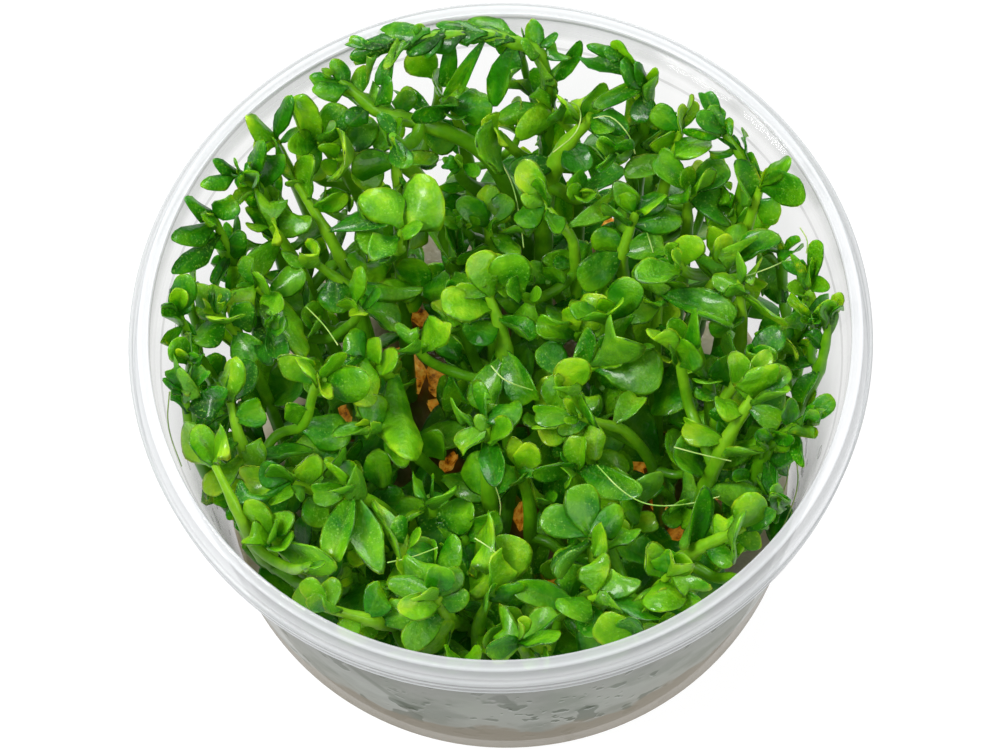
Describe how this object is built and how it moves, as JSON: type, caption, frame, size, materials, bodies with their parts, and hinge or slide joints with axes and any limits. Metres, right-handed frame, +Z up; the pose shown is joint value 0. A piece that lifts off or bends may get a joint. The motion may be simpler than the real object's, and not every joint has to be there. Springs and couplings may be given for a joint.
{
  "type": "moneywort aquarium plant in a tissue culture cup",
  "caption": "Fleshy green moneywort shoots rooted in nutrient gel inside an open clear plastic cup with a stepped rim; stands on its flat base.",
  "frame": {"origin": "middle of the cup's flat base", "axes": "+Z up out of the cup's mouth; the picture's eye looks along +Y and down"},
  "size_m": [0.1, 0.1, 0.0625],
  "materials": {
    "cup_plastic": "clear, slightly milky",
    "nutrient_gel": "wet translucent gel",
    "moneywort_green": "waxy living leaf and stem",
    "dead_leaf": "dry brown leaf"
  },
  "bodies": {
    "root": {"cup": "cup_plastic", "gel": "nutrient_gel", "shoot_back_1": "moneywort_green", "shoot_back_2": "moneywort_green", "shoot_back_3": "moneywort_green", "shoot_back_left_1": "moneywort_green", "shoot_back_left_2": "moneywort_green", "shoot_back_left_3": "moneywort_green", "shoot_back_left_4": "moneywort_green", "shoot_back_left_5": "moneywort_green", "shoot_left_1": "moneywort_green", "shoot_left_2": "moneywort_green", "shoot_left_3": "moneywort_green", "shoot_left_4": "moneywort_green", "shoot_left_5": "moneywort_green", "shoot_left_6": "moneywort_green", "shoot_left_7": "moneywort_green", "shoot_left_8": "moneywort_green", "shoot_left_9": "moneywort_green", "shoot_left_10": "moneywort_green", "shoot_middle_1": "moneywort_green", "shoot_middle_2": "moneywort_green", "shoot_middle_3": "moneywort_green", "shoot_middle_4": "moneywort_green", "shoot_middle_5": "moneywort_green", "shoot_middle_6": "moneywort_green", "shoot_middle_7": "moneywort_green", "shoot_middle_8": "moneywort_green", "shoot_middle_9": "moneywort_green", "shoot_middle_10": "moneywort_green", "shoot_middle_11": "moneywort_green", "shoot_middle_12": "moneywort_green", "shoot_back_right_1": "moneywort_green", "shoot_back_right_2": "moneywort_green", "shoot_back_right_3": "moneywort_green", "shoot_back_right_4": "moneywort_green", "shoot_back_right_5": "moneywort_green", "shoot_right_1": "moneywort_green", "shoot_right_2": "moneywort_green", "shoot_right_3": "moneywort_green", "shoot_right_4": "moneywort_green", "shoot_right_5": "moneywort_green", "shoot_right_6": "moneywort_green", "shoot_right_7": "moneywort_green", "shoot_right_8": "moneywort_green", "shoot_right_9": "moneywort_green", "shoot_front_left_1": "moneywort_green", "shoot_front_left_2": "moneywort_green", "shoot_front_left_3": "moneywort_green", "shoot_front_left_4": "moneywort_green", "shoot_front_left_5": "moneywort_green", "shoot_front_1": "moneywort_green", "shoot_front_2": "moneywort_green", "shoot_front_3": "moneywort_green", "shoot_front_4": "moneywort_green", "shoot_front_5": "moneywort_green", "shoot_front_right_1": "moneywort_green", "shoot_front_right_2": "moneywort_green", "dead_leaf_1": "dead_leaf", "dead_leaf_2": "dead_leaf"}
  },
  "joints": []
}
